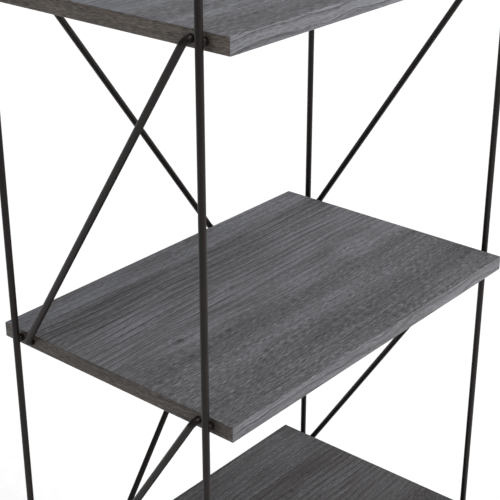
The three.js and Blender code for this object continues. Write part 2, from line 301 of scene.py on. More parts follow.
@dataclass(frozen=True)
class CharcoalMelamine(Finish):
    """Décor paper printed with a limed charcoal oak, pressed under melamine with a grained plate.

    It looks dry and satin: cool grey highlights over a warmer brown-grey, with thin dark pores that
    follow the grain and catch the light a little because the plate pressed them in.
    """

    name: str
    grain: Grain
    centre: Vector  # of the board, in metres
    slide: float = 0.0  # millimetres that the print is moved along its grain
    shift: float = 0.0  # and across it
    knots: tuple[Knot, ...] = ()
    dark: str = "#2b2627"
    middle: str = "#525153"
    light: str = "#82848b"
    lift: float = 0.0  # added to the tone all over
    wander: float = 26.0  # millimetres that a growth line may stray from straight
    stray: tuple[float, float] = (260.0, 91.0)  # length and width of one stray, in millimetres
    ring_spacing: float = 10.5  # millimetres between growth lines
    ring_strength: float = 0.95
    ring_gap: tuple[float, float] = (110.0, 9.0)  # length and width of a break in the lines
    ring_gap_range: tuple[float, float] = (0.3, 0.56)  # from no line to a full line
    fibre: tuple[float, float] = (75.0, 2.8)  # length and width in millimetres
    pore: tuple[float, float] = (9.0, 1.0)  # real pores are 0.4 mm wide; coarser so that they show
    patch: tuple[float, float] = (190.0, 22.0)
    band_weight: float = 0.4
    fibre_weight: float = 0.8
    pore_weight: float = 2.4
    patch_weight: float = 0.4
    knot_weight: float = 0.45
    knot_stretch: float = 1.5  # how much longer a knot is along the grain than across it
    knot_fade: float = 0.55  # how fast its pull on the grain dies away, for each radius
    knot_pull: float = 0.8
    knot_reach: float = 4.0  # radii that its rings cover
    sheet: float = 350.0  # width of one repeat of the print
    ior: float = 1.5  # melamine resin is 1.5 to 1.6
    roughness: float = 0.55

    def surface(self, tree: bpy.types.NodeTree) -> dict[str, Any]:
        """The print's tone as a colour, with roughness and relief that follow its pores.

        Args:
            tree: The material's node tree.

        Returns:
            The shader's inputs, each as a value, a node or a socket.
        """
        along, across, into = self.axes(tree)
        across, knots = self.bend_round_knots(tree, along, across)
        spot = along, across, into
        fibres = self.streaks(tree, spot, self.fibre)
        pores = self.streaks(tree, spot, self.pore)
        tone = self.tone(tree, spot, fibres, pores, knots)
        stops = ((0.0, srgb(self.dark)), (0.5, srgb(self.middle)), (1.0, srgb(self.light)))
        pressed = add_node(tree, "ShaderNodeMath", {0: fibres, 1: pores})
        coated = self.coat(tree, tone, stops, tone, (0.08, -0.06), pressed, (0.35, 0.12))
        return coated | {"IOR": self.ior}

    def axes(self, tree: bpy.types.NodeTree) -> Spot:
        """Measures a point from the board's middle, in millimetres.

        Args:
            tree: The material's node tree.

        Returns:
            The distances along the grain, across it and into the board.
        """
        point = add_node(tree, "ShaderNodeTexCoord").outputs["Object"]
        local = add_node(
            tree, "ShaderNodeVectorMath", {0: point, 1: self.centre}, operation="SUBTRACT"
        )
        scaled = add_node(
            tree, "ShaderNodeVectorMath", {0: local, "Scale": 1 / MM}, operation="SCALE"
        )
        apart = add_node(tree, "ShaderNodeSeparateXYZ", {0: scaled})
        along, across, into = (apart.outputs[axis] for axis in self.grain.value)
        slid = add_node(tree, "ShaderNodeMath", {0: along, 1: self.slide})
        shifted = add_node(tree, "ShaderNodeMath", {0: across, 1: self.shift})
        return slid.outputs[0], shifted.outputs[0], into

    def bend_round_knots(
        self,
        tree: bpy.types.NodeTree,
        along: bpy.types.NodeSocket,
        across: bpy.types.NodeSocket,
    ) -> tuple[bpy.types.NodeSocket, Source]:
        """Makes the grain wander, and leads it round each knot.

        Args:
            tree: The material's node tree.
            along: The distance along the grain.
            across: The distance across it.

        Returns:
            The bent distance across the grain, and the sum of the knots' own rings.
        """
        flat = add_node(tree, "ShaderNodeCombineXYZ", {0: along, 1: across})
        length, width = self.stray
        slow = add_node(
            tree,
            "ShaderNodeVectorMath",
            {0: flat, 1: (1 / length, 1 / width, 0)},
            operation="MULTIPLY",
        )
        drift = add_node(
            tree, "ShaderNodeTexNoise", {"Vector": slow, "Scale": 1.0, "Detail": 3.0}
        )
        strayed = {0: drift, 1: self.wander, 2: across}
        bent = add_node(tree, "ShaderNodeMath", strayed, operation="MULTIPLY_ADD")
        bent = add_node(tree, "ShaderNodeMath", {0: bent, 1: -self.wander / 2})
        lines: Source = 0.0
        for knot in self.knots:
            bent, rings = self.lead_round(tree, knot, flat, bent)
            lines = add_node(tree, "ShaderNodeMath", {0: lines, 1: rings})
        return bent.outputs[0], lines

    def lead_round(
        self,
        tree: bpy.types.NodeTree,
        knot: Knot,
        flat: bpy.types.Node,
        across: bpy.types.Node,
    ) -> tuple[bpy.types.Node, bpy.types.Node]:
        """Leads the grain round one knot, as a stream parts round a stone.

        Args:
            tree: The material's node tree.
            knot: The knot.
            flat: The point on the board's face.
            across: The distance across the grain so far.

        Returns:
            The distance across the grain after the knot, and the knot's own rings.
        """
        heart = (knot.along + self.slide, knot.across + self.shift, 0)
        away = add_node(
            tree, "ShaderNodeVectorMath", {0: flat, 1: heart}, operation="SUBTRACT"
        )
        squeeze = (1 / (self.knot_stretch * knot.radius), 1 / knot.radius, 0)
        squeezed = add_node(
            tree, "ShaderNodeVectorMath", {0: away, 1: squeeze}, operation="MULTIPLY"
        )
        length = add_node(tree, "ShaderNodeVectorMath", {0: squeezed}, operation="LENGTH")
        radii = length.outputs["Value"]
        fall = add_node(
            tree, "ShaderNodeMath", {0: radii, 1: -self.knot_fade}, operation="MULTIPLY"
        )
        near = add_node(tree, "ShaderNodeMath", {0: fall}, operation="EXPONENT")
        side = add_node(tree, "ShaderNodeSeparateXYZ", {0: away}).outputs[1]
        push = add_node(tree, "ShaderNodeMath", {0: near, 1: side}, operation="MULTIPLY")
        pushed = {0: push, 1: -self.knot_pull, 2: across}
        led = add_node(tree, "ShaderNodeMath", pushed, operation="MULTIPLY_ADD")
        share = add_node(
            tree, "ShaderNodeMath", {0: radii, 1: 1 / self.knot_reach}, operation="MULTIPLY"
        )
        return led, add_node(tree, "ShaderNodeValToRGB", {0: share}, stops=KNOT_RINGS)

    def streaks(
        self, tree: bpy.types.NodeTree, spot: Spot, size: tuple[float, float]
    ) -> bpy.types.Node:
        """Noise drawn out along the grain.

        Args:
            tree: The material's node tree.
            spot: The distances along the grain, across it and into the board.
            size: A streak's length and width in millimetres.

        Returns:
            The streaks, from 0 to 1.
        """
        length, width = size
        point = add_node(tree, "ShaderNodeCombineXYZ", dict(enumerate(spot)))
        drawn = add_node(
            tree,
            "ShaderNodeVectorMath",
            {0: point, 1: (1 / length, 1 / width, 1 / width)},
            operation="MULTIPLY",
        )
        noise = {"Vector": drawn, "Scale": 1.0, "Detail": 2.0, "Roughness": 0.6}
        return add_node(tree, "ShaderNodeTexNoise", noise)

    def tone(
        self,
        tree: bpy.types.NodeTree,
        spot: Spot,
        fibres: bpy.types.Node,
        pores: bpy.types.Node,
        knots: Source,
    ) -> bpy.types.Node:
        """Lays broad bands, growth lines, fibres, pores and knots over each other.

        Args:
            tree: The material's node tree.
            spot: The distances along the grain, across it and into the board.
            fibres: The long fibres.
            pores: The short pores.
            knots: The sum of the knots' own rings.

        Returns:
            The print's tone, about 0 where darkest and 1 where lightest.
        """
        half = self.sheet / 2
        across = spot[1]
        share = add_node(
            tree, "ShaderNodeMapRange", {0: across, 1: -half, 2: half}, clamp=False
        )
        sheet = add_node(tree, "ShaderNodeMath", {0: share, 1: 1.0}, operation="PINGPONG")
        bands, lined, porous = (
            add_node(tree, "ShaderNodeValToRGB", {0: sheet}, stops=stops)
            for stops in (BAND_TONES_AND_REAR_LIGHT, BAND_LINES, BAND_PORES)
        )
        turns = add_node(
            tree, "ShaderNodeMath", {0: across, 1: self.ring_spacing}, operation="DIVIDE"
        )
        cycle = add_node(tree, "ShaderNodeMath", {0: turns}, operation="FRACT")
        rings = add_node(tree, "ShaderNodeValToRGB", {0: cycle}, stops=GROWTH_LINE)
        gaps = self.streaks(tree, spot, self.ring_gap)
        none, full = self.ring_gap_range
        whole = add_node(tree, "ShaderNodeMapRange", {0: gaps, 1: none, 2: full})
        strength = add_node(tree, "ShaderNodeMath", {0: whole, 1: lined}, operation="MULTIPLY")
        patches = self.streaks(tree, spot, self.patch)
        total: Source = 0.5 + self.lift
        layers = (
            (bands, 1.0, self.band_weight),
            (rings, strength, self.ring_strength),
            (fibres, 1.0, self.fibre_weight),
            (pores, porous, self.pore_weight),
            (patches, 1.0, self.patch_weight),
        )
        for layer, amount, weight in layers:
            calm = add_node(tree, "ShaderNodeMath", {0: layer, 1: 0.5}, operation="SUBTRACT")
            scaled = add_node(tree, "ShaderNodeMath", {0: calm, 1: amount}, operation="MULTIPLY")
            added = {0: scaled, 1: weight, 2: total}
            total = add_node(tree, "ShaderNodeMath", added, operation="MULTIPLY_ADD")
        even = 0.5 * len(self.knots)  # what the rings add up to away from every knot
        marks = add_node(tree, "ShaderNodeMath", {0: knots, 1: even}, operation="SUBTRACT")
        added = {0: marks, 1: self.knot_weight, 2: total}
        return add_node(tree, "ShaderNodeMath", added, operation="MULTIPLY_ADD")


@dataclass(frozen=True)
class PowderCoat(Finish):
    """Brown-black polyester powder, sprayed on steel bar and stoved.

    It looks nearly black and satin, with a faint orange-peel ripple that breaks up the highlight
    and a slight brown cast where light grazes it.
    """

    name: str = "brown_black_powder_coat"
    # Painted shade for the ripple's hollows, then a painted highlight for its crests.
    shaded_hollow: str = "#110c0a"
    lit_crest: str = "#1b1411"
    ripple: float = 1.6  # millimetres; a real ripple is about 0.8, drawn coarser so that it shows
    cloud: float = 35.0  # millimetres between slow changes in the powder's thickness
    ior: float = 1.5  # polyester
    sheen_cut: float = 0.25  # specular level; the matting wax in the powder halves the reflection
    roughness: float = 0.4

    def surface(self, tree: bpy.types.NodeTree) -> dict[str, Any]:
        """Two close browns mottled by the ripple, which also makes the relief: painted shade in its
        hollows and a painted highlight on its crests, while the slow cloud is the coat's own
        unevenness.

        Args:
            tree: The material's node tree.

        Returns:
            The shader's inputs, each as a value, a node or a socket.
        """
        rough = {"Detail": 2.0, "Roughness": 0.6}
        ripples = self.pattern(tree, "ShaderNodeTexNoise", self.ripple, rough)
        cloud = self.pattern(tree, "ShaderNodeTexNoise", self.cloud, {"Detail": 1.0})
        blend = add_node(tree, "ShaderNodeMath", {0: ripples, 1: cloud}, operation="MULTIPLY")
        stops = ((0.12, srgb(self.shaded_hollow)), (0.4, srgb(self.lit_crest)))
        coated = self.coat(tree, blend, stops, cloud, (-0.05, 0.07), ripples, (0.3, 0.1))
        return coated | {"IOR": self.ior, "Specular IOR Level": self.sheen_cut}


@dataclass(frozen=True)
class CastZinc(Finish):
    """Zinc alloy pressure-cast in a steel die and tumbled: a dull blue-grey with a pebbled skin."""

    name: str = "die_cast_zinc"
    dull: str = "#8f9193"
    bright: str = "#b4b5b6"
    pebble: float = 0.7  # millimetres between tumbling marks
    roughness: float = 0.42

    def surface(self, tree: bpy.types.NodeTree) -> dict[str, Any]:
        """A metal whose brightness and gloss change from one tumbling mark to the next.

        Args:
            tree: The material's node tree.

        Returns:
            The shader's inputs, each as a value, a node or a socket.
        """
        texture = self.pattern(
            tree, "ShaderNodeTexVoronoi", self.pebble, feature="SMOOTH_F1"
        )
        marks = texture.outputs["Distance"]
        stops = ((0.1, srgb(self.dull)), (0.8, srgb(self.bright)))
        coated = self.coat(tree, marks, stops, marks, (0.08, -0.08), marks, (0.3, 0.05))
        return coated | {"Metallic": 1.0}


@dataclass(frozen=True)
class ZincPlate(Finish):
    """Rolled steel screw, barrel-plated with zinc and passivated.

    It is brighter than the cast cam, with fine turning lines round it and a faint yellow bloom.
    """

    name: str = "bright_zinc_plate"
    clear: str = "#c4c6c6"
    bloom: str = "#b5b09c"
    line: float = 0.5  # millimetres to a radian: the rolling dies' lines come out 3.1 mm apart
    cloud: float = 4.0  # millimetres between clouds of the bloom
    roughness: float = 0.28

    def surface(self, tree: bpy.types.NodeTree) -> dict[str, Any]:
        """A metal with a cloudy passivated bloom, and lines that follow its height.

        Args:
            tree: The material's node tree.

        Returns:
            The shader's inputs, each as a value, a node or a socket.
        """
        cloud = self.pattern(tree, "ShaderNodeTexNoise", self.cloud, {"Detail": 2.0})
        lines = self.pattern(
            tree,
            "ShaderNodeTexWave",
            20 * self.line,  # the texture runs through 20 radians in one unit
            {"Distortion": 0.4},
            bands_direction="Z",
        )
        stops = ((0.35, srgb(self.clear)), (0.7, srgb(self.bloom)))
        coated = self.coat(tree, cloud, stops, lines.outputs[1], (0.0, 0.14))
        return coated | {"Metallic": 1.0}


@dataclass(frozen=True)
class MouldedNylon(Finish):
    """Black nylon moulded in a spark-eroded tool: soft, even and finely pitted, a little waxy."""

    name: str = "moulded_black_nylon"
    low: str = "#18181a"
    high: str = "#232325"
    pit: float = 0.5  # millimetres across; real spark pits are about 0.1
    ior: float = 1.53  # nylon 6
    roughness: float = 0.55

    def surface(self, tree: bpy.types.NodeTree) -> dict[str, Any]:
        """Pits that dent the surface and roughen the gloss, and painted shade that darkens the
        colour in them.

        Args:
            tree: The material's node tree.

        Returns:
            The shader's inputs, each as a value, a node or a socket.
        """
        pits = self.pattern(tree, "ShaderNodeTexNoise", self.pit, {"Detail": 3.0})
        # The darker colour in the pits is painted shade.
        stops = ((0.3, srgb(self.low)), (0.7, srgb(self.high)))
        coated = self.coat(tree, pits, stops, pits, (0.1, -0.1), pits, (0.4, 0.06))
        return coated | {"IOR": self.ior}


@dataclass(frozen=True)
class ParticleBoard(Finish):
    """Wood chips hot-pressed with resin, then drilled: pale, matt and crumbly where it is cut."""

    name: str = "drilled_particle_board"
    chip_dark: str = "#8d7350"
    chip_light: str = "#c6a878"
    chip: float = 1.8  # millimetres
    ior: float = 1.5
    roughness: float = 0.85

    def surface(self, tree: bpy.types.NodeTree) -> dict[str, Any]:
        """Each chip has its own shade, and the joints between chips are pits.

        Args:
            tree: The material's node tree.

        Returns:
            The shader's inputs, each as a value, a node or a socket.
        """
        chips = self.pattern(tree, "ShaderNodeTexVoronoi", self.chip)
        shade, edge = chips.outputs["Color"], chips.outputs["Distance"]
        stops = ((0.0, srgb(self.chip_dark)), (1.0, srgb(self.chip_light)))
        coated = self.coat(tree, shade, stops, height=edge, dent=(0.6, 0.2), invert=True)
        return coated | {"IOR": self.ior}


@dataclass(frozen=True)
class PaintedFloor(Finish):
    """Matt white emulsion rolled on a level floor: plain and pale, with a trace of roller nap."""

    name: str = "white_studio_paint"
    low: str = "#f4f4f4"
    high: str = "#f9f9f9"
    nap: float = 40.0  # millimetres, coarse enough to show as the faintest unevenness
    ior: float = 1.45
    roughness: float = 0.9

    def surface(self, tree: bpy.types.NodeTree) -> dict[str, Any]:
        """Two near whites, mixed by the nap.

        Args:
            tree: The material's node tree.

        Returns:
            The shader's inputs, each as a value, a node or a socket.
        """
        nap = self.pattern(tree, "ShaderNodeTexNoise", self.nap, {"Detail": 2.0})
        stops = ((0.3, srgb(self.low)), (0.7, srgb(self.high)))
        return self.coat(tree, nap, stops) | {"IOR": self.ior}


# ---- Shaping -------------------------------------------------------------------------------------
class Operation(Enum):
    """What a tool solid does to the solid it is applied to."""

    JOIN = "UNION"
    CUT = "DIFFERENCE"


def skin(rings: Iterable[Sequence[Vector]]) -> bmesh.types.BMesh:
    """Closes a skin over rings of equal length, with a cap on the first and on the last.

    Args:
        rings: The rings in order, each going round the same way.

    Returns:
        The closed solid.
    """
    solid = bmesh.new()
    rows = [[solid.verts.new(point) for point in ring] for ring in rings]
    for below, above in itertools.pairwise(rows):
        for i, start in enumerate(below):
            j = (i + 1) % len(below)
            solid.faces.new((start, below[j], above[j], above[i]))
    solid.faces.new(rows[0][::-1])
    solid.faces.new(rows[-1])
    bmesh.ops.recalc_face_normals(solid, faces=solid.faces)
    return solid


def circle(
    centre: Vector, radius: float, across: Vector, side: Vector, sides: int
) -> list[Vector]:
    """Spaces points evenly round a circle.

    Args:
        centre: Its middle.
        radius: Its radius.
        across: The unit direction of the first point.
        side: The unit direction a quarter turn on.
        sides: How many points go round.

    Returns:
        The points in order.
    """
    angles = (2 * math.pi * k / sides for k in range(sides))
    return [
        centre + radius * (math.cos(angle) * across + math.sin(angle) * side)
        for angle in angles
    ]


def turned(
    profile: Profile, origin: Vector, axis: Vector, sides: int
) -> bmesh.types.BMesh:
    """Turns a profile about an axis.

    Args:
        profile: Pairs of radius and distance along the axis.
        origin: Where the distance is zero.
        axis: The unit direction of the axis.
        sides: How many facets go round.

    Returns:
        The turned solid, closed at both ends of the profile.
    """
    right = axis.orthogonal().normalized()
    up = axis.cross(right)
    return skin(
        circle(origin + axis * distance, radius, right, up, sides)
        for radius, distance in profile
    )


def bent_path(
    corners: Sequence[Vector], bend_radius: float, steps: int
) -> list[Vector]:
    """Rounds the inner corners of a line of straights.

    Args:
        corners: The line's ends and its sharp inner corners.
        bend_radius: The radius of the centre line in each bend.
        steps: How many chords make one bend.

    Returns:
        The points along the bent line.
    """
    path = [corners[0]]
    for before, corner, after in zip(corners, corners[1:], corners[2:]):
        entry = (corner - before).normalized()
        leave = (after - corner).normalized()
        turn = entry.angle(leave)
        start = corner - entry * bend_radius * math.tan(turn / 2)
        inward = (leave - entry * leave.dot(entry)).normalized()
        for step in range(steps + 1):
            angle = turn * step / steps
            path.append(
                start
                + entry * bend_radius * math.sin(angle)
                + inward * bend_radius * (1 - math.cos(angle))
            )
    return [*path, corners[-1]]


def swept(
    path: Sequence[Vector], radius: float, ease: float, sides: int
) -> bmesh.types.BMesh:
    """Sweeps a round section along a path without twisting it, and eases its two cut ends.

    Args:
        path: The centre line.
        radius: The section's radius.
        ease: The size of the chamfer on each cut end.
        sides: How many facets go round.

    Returns:
        The closed bar.
    """
    first, last = path[0], path[-1]
    start = (path[1] - first).normalized()
    end = (last - path[-2]).normalized()
    points = [first, first + start * ease, *path[1:-1], last - end * ease, last]
    radii = [radius - ease, *[radius] * (len(points) - 2), radius - ease]
    legs = [(b - a).normalized() for a, b in itertools.pairwise(points)]
    joints = zip([legs[0], *legs], [*legs, legs[-1]])
    tangents = [(a + b).normalized() for a, b in joints]
    across = start.orthogonal().normalized()
    rings = []
    for i, (point, tangent) in enumerate(zip(points, tangents)):
        if i:
            across.rotate(tangents[i - 1].rotation_difference(tangent))
        rings.append(circle(point, radii[i], across, tangent.cross(across), sides))
    return skin(rings)


def block(low: Vector, high: Vector) -> bmesh.types.BMesh:
    """Makes a box.

    Args:
        low: Its lowest corner.
        high: Its highest corner.

    Returns:
        The box.
    """
    solid = bmesh.new()
    size = high - low
    fit = Matrix.Translation((low + high) / 2) @ Matrix.Diagonal((*size, 1))
    bmesh.ops.create_cube(solid, size=1, matrix=fit)
    return solid


def piece_from(
    name: str, solid: bmesh.types.BMesh, *materials: bpy.types.Material
) -> bpy.types.Object:
    """Puts a solid into the scene.

    Args:
        name: The piece's name.
        solid: Its shape, which is used up.
        *materials: Its materials, in the order of the faces' numbers.

    Returns:
        The new piece.
    """
    mesh = bpy.data.meshes.new(name)
    solid.to_mesh(mesh)
    solid.free()
    for material in materials:
        mesh.materials.append(material)
    piece = bpy.data.objects.new(name, mesh)
    bpy.context.scene.collection.objects.link(piece)
    return piece


def work(
    piece: bpy.types.Object,
    tool: bmesh.types.BMesh,
    operation: Operation,
    material: bpy.types.Material,
) -> None:
    """Joins a tool solid to a piece, or cuts it out.

    Args:
        piece: The piece to work on.
        tool: The tool's shape, which is used up.
        operation: What to do with it.
        material: The material of the faces that the tool leaves.
    """
    cutter = piece_from("tool", tool, material)
    modifier = piece.modifiers.new("work", "BOOLEAN")
    modifier.operation = operation.value
    modifier.solver = "EXACT"
    modifier.material_mode = "TRANSFER"
    modifier.object = cutter
    graph = bpy.context.evaluated_depsgraph_get()
    worked = bpy.data.meshes.new_from_object(piece.evaluated_get(graph))
    piece.modifiers.clear()
    spent = piece.data
    piece.data = worked
    bpy.data.meshes.remove(spent)
    bpy.data.meshes.remove(cutter.data)


def smooth(piece: bpy.types.Object, crease: float) -> None:
    """Shades a piece smooth, apart from edges sharper than the crease.

    Args:
        piece: The piece.
        crease: The angle in degrees from which an edge stays sharp.
    """
    piece.data.shade_smooth()
    piece.data.set_sharp_from_angle(angle=math.radians(crease))


def place(piece: bpy.types.Object, body: str, node: str) -> None:
    """Hands a finished piece to the frame in the place of one CAD node.

    Args:
        piece: The piece.
        body: The body that it rides on.
        node: The CAD node that it stands for.
    """
    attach(piece, body)
    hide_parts(node)
    LOG.info("%s: %d faces, on body %s", piece.name, len(piece.data.polygons), body)


# ---- Layout --------------------------------------------------------------------------------------
class Side(Enum):
    """An end of the bookcase, with the sign of its X."""

    LEFT = -1
    RIGHT = 1


class Face(Enum):
    """The front or the rear, with the sign of its Y."""

    FRONT = -1
    REAR = 1


@dataclass(frozen=True)
class Corner:
    """One of the four corners, where an upright and a foot stand."""

    face: Face
    side: Side

    @property
    def name(self) -> str:
        """The corner's name as the frame spells it."""
        return f"{self.face.name}_{self.side.name}".lower()


CORNERS = [Corner(face, side) for side in Side for face in Face]
SHELF_COUNT = sum(name.startswith("shelf_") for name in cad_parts)


@dataclass(frozen=True)
class Layout:
    """Where the pieces meet, from the frame's boxes and the few sizes that they share."""

    rod_radius: float = 4 * MM
    bend_radius: float = 8 * MM
    plug_depth: float = 25 * MM
    side_inset: float = 46.5 * MM  # from a board's front or rear edge to an end brace's plug
    rear_top_inset: float = 80 * MM  # from a board's end to a rear brace's upper plug
    rear_foot_inset: float = 159 * MM  # from its other end to the lower plug

    def board(self, number: int) -> tuple[Vector, Vector]:
        """The lowest and highest corners of a board, counted up from 1."""
        low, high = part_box(f"shelf_{number}")
        return Vector(low), Vector(high)

    def board_height(self, number: int) -> float:
        """The height of the middle of a board's thickness."""
        low, high = self.board(number)
        return (low.z + high.z) / 2

    def upright(self, corner: Corner) -> Vector:
        """The foot of the centre line of an upright.

        Args:
            corner: The corner where it stands.

        Returns:
            The lower end of its centre line.
        """
        low, high = map(Vector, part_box(f"upright_{corner.name}"))
        outer = high.x if corner.side is Side.RIGHT else low.x
        x = outer - corner.side.value * self.rod_radius
        return Vector((x, (low.y + high.y) / 2, low.z))

    def rear_line(self) -> float:
        """The Y of the rear braces' centre lines."""
        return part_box("rear_brace_1")[1][1] - self.rod_radius

    def side_plug(self, number: int, face: Face) -> float:
        """The Y of the end braces' plugs in a board.

        Args:
            number: The board, counted up from 1.
            face: Whether at the front or the rear.

        Returns:
            The Y of the plugs' centre lines.
        """
        low, high = self.board(number)
        edge = low.y if face is Face.FRONT else high.y
        return edge - face.value * self.side_inset

    def rear_plugs(self, bay: int) -> tuple[float, float]:
        """The X of a rear brace's plugs; the braces slope in turn each way.

        Args:
            bay: The bay, counted up from 1.

        Returns:
            The X of the upper plug and of the lower plug.
        """
        way = 1 if bay % 2 else -1
        low, high = self.board(bay)
        half = (high.x - low.x) / 2
        return -way * (half - self.rear_top_inset), way * (half - self.rear_foot_inset)


LAYOUT = Layout()


# ---- Sub-assemblies ------------------------------------------------------------------------------
@dataclass
class ShelfBoard:
    """One board: particle board faced with melamine, its four edges banded, drilled at the ends."""

    number: int
    slide: float  # where on the printed sheet it was cut, in millimetres
    shift: float
    lift: float  # how much lighter or darker its print is made: painted shade on board 2, a painted sheen on board 4, a difference between sheets on the others
    knots: tuple[Knot, ...]
    band: float = 0.8 * MM  # thickness of the edge band
    ease: float = 0.45 * MM  # how far its corners are eased
    stud_hole: float = 3 * MM  # radius
    cam_pocket: float = 7.5 * MM  # radius
    cam_depth: float = 24 * MM  # from the board's end to the middle of the cam
    cam_pocket_height: float = 13.5 * MM
    plug_hole: float = LAYOUT.rod_radius + 0.3 * MM  # radius
    plug_hole_depth: float = LAYOUT.plug_depth + 3 * MM
    drill_start: float = -1 * MM  # outside the face, so that the cut is clean
    band_slides: tuple[float, float] = (300, 700)  # where on the sheet the bands were cut
    band_shift: float = 60
    crease: float = 28  # degrees
    sides: int = 40

    def build(self) -> bpy.types.Object:
        """Builds the board, drills it and dresses it.

        Returns:
            The finished board.
        """
        low, high = LAYOUT.board(self.number)
        solid = self.banded(low, high)
        piece = piece_from(f"board_{self.number}", solid, *self.finishes())
        raw = ParticleBoard().material()
        for hole in self.holes(low, high):
            work(piece, hole, Operation.CUT, raw)
        smooth(piece, self.crease)
        return piece

    def finishes(self) -> list[bpy.types.Material]:
        """The melamine of the faces and of the edge bands.

        Returns:
            The materials of the faces, the long bands and the short bands; both bands are darker
            copies of the face print, with painted shade.
        """
        low, high = LAYOUT.board(self.number)
        centre = (low + high) / 2
        long_slide, short_slide = (self.slide + along for along in self.band_slides)
        face = CharcoalMelamine(
            f"charcoal_melamine_face_{self.number}",
            Grain.FACE,
            centre,
            slide=self.slide,
            shift=self.shift,
            knots=self.knots,
            lift=self.lift,
        )
        # The long bands are the face print made darker: painted shade that tones down the brightly
        # lit front edges.
        shaded_long_band = CharcoalMelamine(
            f"charcoal_melamine_long_band_{self.number}",
            Grain.LONG_EDGE,
            centre,
            slide=long_slide,
            shift=self.band_shift,
            dark="#211e1f",
            middle="#474649",
            light="#727379",
            wander=60.0,
            ring_strength=0.7,
            knots=(Knot(-28, -2, 4),),
            lift=self.lift + 0.05,
        )
        # The short bands are the face print made darker and browner: painted shade on the ends that
        # turn away from the key light.
        shaded_short_band = CharcoalMelamine(
            f"charcoal_melamine_short_band_{self.number}",
            Grain.SHORT_EDGE,
            centre,
            slide=short_slide,
            shift=-self.band_shift,
            dark="#1f1a17",
            middle="#423a34",
            light="#675e56",
            lift=self.lift,
        )
        return [finish.material() for finish in (face, shaded_long_band, shaded_short_band)]

    def banded(self, low: Vector, high: Vector) -> bmesh.types.BMesh:
        """The undrilled board: faces framed by the thickness of the bands, with eased corners.

        Args:
            low: The board's lowest corner.
            high: Its highest corner.

        Returns:
            The board, with a material number on each face.
        """
        solid = block(low, high)
        solid.normal_update()
        wide = [face for face in solid.faces if abs(face.normal.z) > 0.5]
        outer = list(solid.edges)
        for face in solid.faces:
            if face not in wide:
                face.material_index = 1 if abs(face.normal.y) > 0.5 else 2
        rims = []
        for face in wide:
            ring = bmesh.ops.inset_region(solid, faces=[face], thickness=self.band)
            rims += ring["faces"]
        for face in rims:
            middle = face.calc_center_median() - (low + high) / 2
            near_end = abs(middle.x) > (high.x - low.x) / 2 - self.band
            face.material_index = 2 if near_end else 1
        bmesh.ops.bevel(
            solid,
            geom=outer,
            offset=self.ease,
            segments=2,
            profile=0.5,
            affect="EDGES",
        )
        return solid

    def holes(self, low: Vector, high: Vector) -> list[bmesh.types.BMesh]:
        """What the drilling takes out.

        Args:
            low: The board's lowest corner.
            high: Its highest corner.

        Returns:
            One solid for each hole.
        """
        middle = LAYOUT.board_height(self.number)
        bores = []
        for corner in CORNERS:
            sign = corner.side.value
            end = high.x if sign > 0 else low.x
            inward = Vector((-sign, 0, 0))
            y = LAYOUT.upright(corner).y
            stud = Vector((end, y, middle))
            bores.append((self.stud_hole, self.cam_depth, stud, inward))
            pocket = Vector((end - sign * self.cam_depth, y, low.z))
            bores.append((self.cam_pocket, self.cam_pocket_height, pocket, UP))
            if self.has_bay(above=corner.face is Face.REAR):
                plug = Vector((end, LAYOUT.side_plug(self.number, corner.face), middle))
                bores.append((self.plug_hole, self.plug_hole_depth, plug, inward))
        for above in (True, False):
            if self.has_bay(above):
                top, foot = LAYOUT.rear_plugs(self.number if above else self.number - 1)
                at = Vector((foot if above else top, high.y, middle))
                forward = Vector((0, -1, 0))
                bores.append((self.plug_hole, self.plug_hole_depth, at, forward))
        start = self.drill_start
        return [
            turned(((radius, start), (radius, depth)), origin, axis, self.sides)
            for radius, depth, origin, axis in bores
        ]

    def has_bay(self, above: bool) -> bool:
        """Whether there is a bay above the board, or below it."""
        return self.number < SHELF_COUNT if above else self.number > 1


